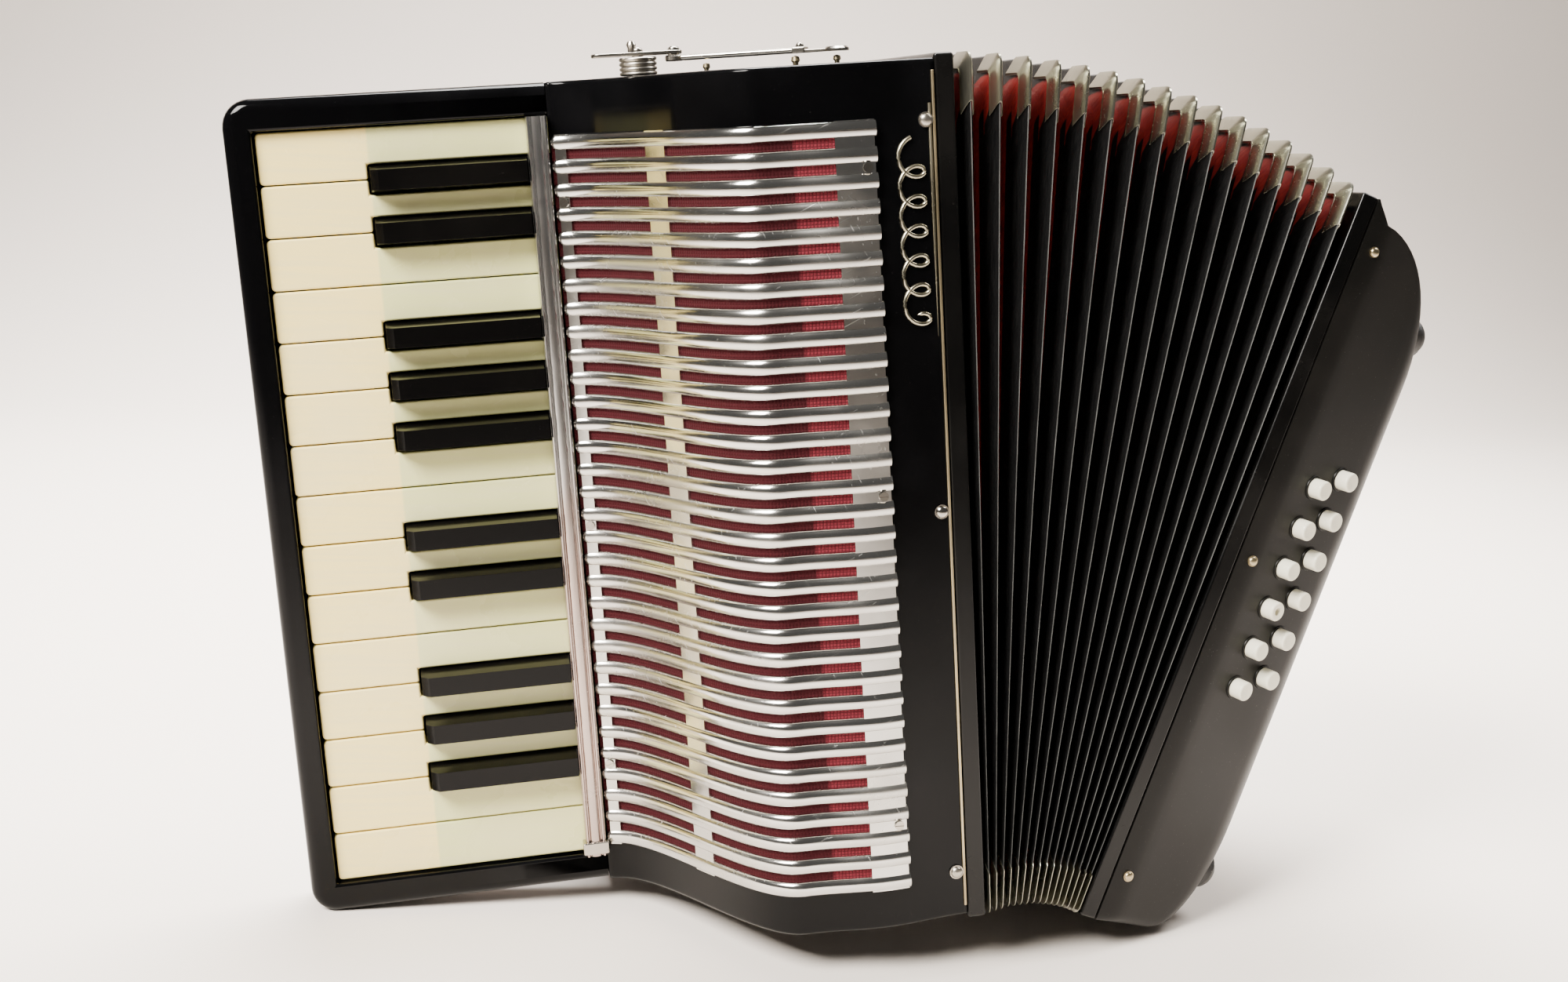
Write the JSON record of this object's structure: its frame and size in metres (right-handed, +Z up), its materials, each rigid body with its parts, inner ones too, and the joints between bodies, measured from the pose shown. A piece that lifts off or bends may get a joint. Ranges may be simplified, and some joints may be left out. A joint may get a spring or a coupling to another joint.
{
  "type": "piano accordion",
  "caption": "Small vintage black piano accordion standing on end with its bellows fanned open, slatted metal grille, sprung keys and bass buttons",
  "frame": {"origin": "bottom centre of the bounding box, on the floor that the tray corner and the bass box stand on", "axes": "X from the keyboard to the bass side, Y from the front to the back, Z up"},
  "size_m": [0.4624, 0.1832, 0.335],
  "materials": {
    "white_key_ivory": "worn ivory celluloid, warm at the front and paler between the black keys",
    "black_key": "polished black",
    "button_ivory": "ivory plastic",
    "treble_celluloid": "high gloss black celluloid",
    "bass_satin": "satin black, faintly brown",
    "grille_metal": "polished aluminium, slightly dulled",
    "grille_cloth": "dark wine red weave",
    "chrome": "worn chrome plate",
    "steel": "plain steel",
    "reed_wood": "plain unfinished wood",
    "frame_lacquer": "black lacquered wood",
    "bellows_cloth": "black cloth-covered card",
    "strap_leather": "black leather"
  },
  "bodies": {
    "treble": {"treble_body": "treble_celluloid", "keyboard_tray": "treble_celluloid", "treble_grille": "grille_metal", "grille_cloth": "grille_cloth", "key_rail": "chrome", "key_rod": "steel", "treble_reed_block": "reed_wood", "treble_bellows_frame": "frame_lacquer", "bellows": "bellows_cloth", "clasp_knob": "chrome", "strap_bracket_upper": "chrome", "strap_bracket_lower": "chrome"},
    "bass": {"bass_bellows_frame": "frame_lacquer", "bass_case": "bass_satin", "bass_reed_block": "reed_wood", "hand_strap": "strap_leather"},
    "white_key_01": {"white_key_01": "white_key_ivory"},
    "white_key_02": {"white_key_02": "white_key_ivory"},
    "white_key_03": {"white_key_03": "white_key_ivory"},
    "white_key_04": {"white_key_04": "white_key_ivory"},
    "white_key_05": {"white_key_05": "white_key_ivory"},
    "white_key_06": {"white_key_06": "white_key_ivory"},
    "white_key_07": {"white_key_07": "white_key_ivory"},
    "white_key_08": {"white_key_08": "white_key_ivory"},
    "white_key_09": {"white_key_09": "white_key_ivory"},
    "white_key_10": {"white_key_10": "white_key_ivory"},
    "white_key_11": {"white_key_11": "white_key_ivory"},
    "white_key_12": {"white_key_12": "white_key_ivory"},
    "white_key_13": {"white_key_13": "white_key_ivory"},
    "white_key_14": {"white_key_14": "white_key_ivory"},
    "white_key_15": {"white_key_15": "white_key_ivory"},
    "black_key_01": {"black_key_01": "black_key"},
    "black_key_02": {"black_key_02": "black_key"},
    "black_key_03": {"black_key_03": "black_key"},
    "black_key_04": {"black_key_04": "black_key"},
    "black_key_05": {"black_key_05": "black_key"},
    "black_key_06": {"black_key_06": "black_key"},
    "black_key_07": {"black_key_07": "black_key"},
    "black_key_08": {"black_key_08": "black_key"},
    "black_key_09": {"black_key_09": "black_key"},
    "black_key_10": {"black_key_10": "black_key"},
    "bass_button_01": {"bass_button_01": "button_ivory"},
    "bass_button_02": {"bass_button_02": "button_ivory"},
    "bass_button_03": {"bass_button_03": "button_ivory"},
    "bass_button_04": {"bass_button_04": "button_ivory"},
    "bass_button_05": {"bass_button_05": "button_ivory"},
    "bass_button_06": {"bass_button_06": "button_ivory"},
    "bass_button_07": {"bass_button_07": "button_ivory"},
    "bass_button_08": {"bass_button_08": "button_ivory"},
    "bass_button_09": {"bass_button_09": "button_ivory"},
    "bass_button_10": {"bass_button_10": "button_ivory"},
    "bass_button_11": {"bass_button_11": "button_ivory"},
    "bass_button_12": {"bass_button_12": "button_ivory"},
    "air_valve": {"air_button": "button_ivory"},
    "wheel": {"strap_wheel": "steel"},
    "lever": {"clasp_lever": "chrome"},
    "link": {"clasp_link": "chrome"}
  },
  "joints": [
    {"name": "bellows_fan", "type": "hinge", "parent": "treble", "child": "bass", "pos_m": [0.04144, -0.08172, 0.01828], "axis": [-0.1214, 0.9628, 0.2413], "range_deg": [-26.4, 8], "deforming": ["bellows"]},
    {"name": "white_key_01_dip", "type": "hinge", "parent": "treble", "child": "white_key_01", "pos_m": [-0.10806, -0.00528, 0.28782], "axis": [0.1017, 0, -0.9948], "range_deg": [0, 2.1], "stiffness_Nm_per_rad": 2},
    {"name": "white_key_02_dip", "type": "hinge", "parent": "treble", "child": "white_key_02", "pos_m": [-0.10613, -0.00528, 0.26892], "axis": [0.1017, 0, -0.9948], "range_deg": [0, 2.1], "stiffness_Nm_per_rad": 2},
    {"name": "white_key_03_dip", "type": "hinge", "parent": "treble", "child": "white_key_03", "pos_m": [-0.1042, -0.00528, 0.25002], "axis": [0.1017, 0, -0.9948], "range_deg": [0, 2.1], "stiffness_Nm_per_rad": 2},
    {"name": "white_key_04_dip", "type": "hinge", "parent": "treble", "child": "white_key_04", "pos_m": [-0.10226, -0.00528, 0.23112], "axis": [0.1017, 0, -0.9948], "range_deg": [0, 2.1], "stiffness_Nm_per_rad": 2},
    {"name": "white_key_05_dip", "type": "hinge", "parent": "treble", "child": "white_key_05", "pos_m": [-0.10033, -0.00528, 0.21221], "axis": [0.1017, 0, -0.9948], "range_deg": [0, 2.1], "stiffness_Nm_per_rad": 2},
    {"name": "white_key_06_dip", "type": "hinge", "parent": "treble", "child": "white_key_06", "pos_m": [-0.0984, -0.00528, 0.19331], "axis": [0.1017, 0, -0.9948], "range_deg": [0, 2.1], "stiffness_Nm_per_rad": 2},
    {"name": "white_key_07_dip", "type": "hinge", "parent": "treble", "child": "white_key_07", "pos_m": [-0.09646, -0.00528, 0.17441], "axis": [0.1017, 0, -0.9948], "range_deg": [0, 2.1], "stiffness_Nm_per_rad": 2},
    {"name": "white_key_08_dip", "type": "hinge", "parent": "treble", "child": "white_key_08", "pos_m": [-0.09453, -0.00528, 0.15551], "axis": [0.1017, 0, -0.9948], "range_deg": [0, 2.1], "stiffness_Nm_per_rad": 2},
    {"name": "white_key_09_dip", "type": "hinge", "parent": "treble", "child": "white_key_09", "pos_m": [-0.0926, -0.00528, 0.13661], "axis": [0.1017, 0, -0.9948], "range_deg": [0, 2.1], "stiffness_Nm_per_rad": 2},
    {"name": "white_key_10_dip", "type": "hinge", "parent": "treble", "child": "white_key_10", "pos_m": [-0.09067, -0.00528, 0.11771], "axis": [0.1017, 0, -0.9948], "range_deg": [0, 2.1], "stiffness_Nm_per_rad": 2},
    {"name": "white_key_11_dip", "type": "hinge", "parent": "treble", "child": "white_key_11", "pos_m": [-0.08873, -0.00528, 0.09881], "axis": [0.1017, 0, -0.9948], "range_deg": [0, 2.1], "stiffness_Nm_per_rad": 2},
    {"name": "white_key_12_dip", "type": "hinge", "parent": "treble", "child": "white_key_12", "pos_m": [-0.0868, -0.00528, 0.07991], "axis": [0.1017, 0, -0.9948], "range_deg": [0, 2.1], "stiffness_Nm_per_rad": 2},
    {"name": "white_key_13_dip", "type": "hinge", "parent": "treble", "child": "white_key_13", "pos_m": [-0.08487, -0.00528, 0.061], "axis": [0.1017, 0, -0.9948], "range_deg": [0, 2.1], "stiffness_Nm_per_rad": 2},
    {"name": "white_key_14_dip", "type": "hinge", "parent": "treble", "child": "white_key_14", "pos_m": [-0.08293, -0.00528, 0.0421], "axis": [0.1017, 0, -0.9948], "range_deg": [0, 2.1], "stiffness_Nm_per_rad": 2},
    {"name": "white_key_15_dip", "type": "hinge", "parent": "treble", "child": "white_key_15", "pos_m": [-0.081, -0.00528, 0.0232], "axis": [0.1017, 0, -0.9948], "range_deg": [0, 2.1], "stiffness_Nm_per_rad": 2},
    {"name": "black_key_01_dip", "type": "hinge", "parent": "treble", "child": "black_key_01", "pos_m": [-0.10806, -0.00528, 0.28782], "axis": [0.1017, 0, -0.9948], "range_deg": [0, 2.1], "stiffness_Nm_per_rad": 2},
    {"name": "black_key_02_dip", "type": "hinge", "parent": "treble", "child": "black_key_02", "pos_m": [-0.10613, -0.00528, 0.26892], "axis": [0.1017, 0, -0.9948], "range_deg": [0, 2.1], "stiffness_Nm_per_rad": 2},
    {"name": "black_key_03_dip", "type": "hinge", "parent": "treble", "child": "black_key_03", "pos_m": [-0.10226, -0.00528, 0.23112], "axis": [0.1017, 0, -0.9948], "range_deg": [0, 2.1], "stiffness_Nm_per_rad": 2},
    {"name": "black_key_04_dip", "type": "hinge", "parent": "treble", "child": "black_key_04", "pos_m": [-0.10033, -0.00528, 0.21221], "axis": [0.1017, 0, -0.9948], "range_deg": [0, 2.1], "stiffness_Nm_per_rad": 2},
    {"name": "black_key_05_dip", "type": "hinge", "parent": "treble", "child": "black_key_05", "pos_m": [-0.0984, -0.00528, 0.19331], "axis": [0.1017, 0, -0.9948], "range_deg": [0, 2.1], "stiffness_Nm_per_rad": 2},
    {"name": "black_key_06_dip", "type": "hinge", "parent": "treble", "child": "black_key_06", "pos_m": [-0.09453, -0.00528, 0.15551], "axis": [0.1017, 0, -0.9948], "range_deg": [0, 2.1], "stiffness_Nm_per_rad": 2},
    {"name": "black_key_07_dip", "type": "hinge", "parent": "treble", "child": "black_key_07", "pos_m": [-0.0926, -0.00528, 0.13661], "axis": [0.1017, 0, -0.9948], "range_deg": [0, 2.1], "stiffness_Nm_per_rad": 2},
    {"name": "black_key_08_dip", "type": "hinge", "parent": "treble", "child": "black_key_08", "pos_m": [-0.08873, -0.00528, 0.09881], "axis": [0.1017, 0, -0.9948], "range_deg": [0, 2.1], "stiffness_Nm_per_rad": 2},
    {"name": "black_key_09_dip", "type": "hinge", "parent": "treble", "child": "black_key_09", "pos_m": [-0.0868, -0.00528, 0.07991], "axis": [0.1017, 0, -0.9948], "range_deg": [0, 2.1], "stiffness_Nm_per_rad": 2},
    {"name": "black_key_10_dip", "type": "hinge", "parent": "treble", "child": "black_key_10", "pos_m": [-0.08487, -0.00528, 0.061], "axis": [0.1017, 0, -0.9948], "range_deg": [0, 2.1], "stiffness_Nm_per_rad": 2},
    {"name": "bass_button_01_press", "type": "slide", "parent": "bass", "child": "bass_button_01", "axis": [-0.4323, 0.8975, 0.0873], "range_m": [0, 0.0035], "stiffness_N_per_m": 150},
    {"name": "bass_button_02_press", "type": "slide", "parent": "bass", "child": "bass_button_02", "axis": [-0.4323, 0.8975, 0.0873], "range_m": [0, 0.0035], "stiffness_N_per_m": 150},
    {"name": "bass_button_03_press", "type": "slide", "parent": "bass", "child": "bass_button_03", "axis": [-0.4323, 0.8975, 0.0873], "range_m": [0, 0.0035], "stiffness_N_per_m": 150},
    {"name": "bass_button_04_press", "type": "slide", "parent": "bass", "child": "bass_button_04", "axis": [-0.4323, 0.8975, 0.0873], "range_m": [0, 0.0035], "stiffness_N_per_m": 150},
    {"name": "bass_button_05_press", "type": "slide", "parent": "bass", "child": "bass_button_05", "axis": [-0.4323, 0.8975, 0.0873], "range_m": [0, 0.0035], "stiffness_N_per_m": 150},
    {"name": "bass_button_06_press", "type": "slide", "parent": "bass", "child": "bass_button_06", "axis": [-0.4323, 0.8975, 0.0873], "range_m": [0, 0.0035], "stiffness_N_per_m": 150},
    {"name": "bass_button_07_press", "type": "slide", "parent": "bass", "child": "bass_button_07", "axis": [-0.4323, 0.8975, 0.0873], "range_m": [0, 0.0035], "stiffness_N_per_m": 150},
    {"name": "bass_button_08_press", "type": "slide", "parent": "bass", "child": "bass_button_08", "axis": [-0.4323, 0.8975, 0.0873], "range_m": [0, 0.0035], "stiffness_N_per_m": 150},
    {"name": "bass_button_09_press", "type": "slide", "parent": "bass", "child": "bass_button_09", "axis": [-0.4323, 0.8975, 0.0873], "range_m": [0, 0.0035], "stiffness_N_per_m": 150},
    {"name": "bass_button_10_press", "type": "slide", "parent": "bass", "child": "bass_button_10", "axis": [-0.4323, 0.8975, 0.0873], "range_m": [0, 0.0035], "stiffness_N_per_m": 150},
    {"name": "bass_button_11_press", "type": "slide", "parent": "bass", "child": "bass_button_11", "axis": [-0.4323, 0.8975, 0.0873], "range_m": [0, 0.0035], "stiffness_N_per_m": 150},
    {"name": "bass_button_12_press", "type": "slide", "parent": "bass", "child": "bass_button_12", "axis": [-0.4323, 0.8975, 0.0873], "range_m": [0, 0.0035], "stiffness_N_per_m": 150},
    {"name": "air_button_press", "type": "slide", "parent": "bass", "child": "air_valve", "axis": [-0.9359, -0.1025, 0.337], "range_m": [0, 0.003], "stiffness_N_per_m": 150},
    {"name": "strap_wheel_turn", "type": "hinge", "parent": "bass", "child": "wheel", "pos_m": [0.21982, 0.03773, 0.24161], "axis": [0.1194, -0.9924, 0.0298], "range_deg": [-180, 180]},
    {"name": "clasp_lever_turn", "type": "hinge", "parent": "treble", "child": "lever", "pos_m": [-0.08564, -0.02977, 0.32117], "axis": [-0.1017, 0, 0.9948], "range_deg": [-60, 60]},
    {"name": "clasp_link_swing", "type": "hinge", "parent": "lever", "child": "link", "pos_m": [-0.07271, -0.02977, 0.3225], "axis": [-0.1017, 0, 0.9948], "range_deg": [-30, 40]}
  ]
}
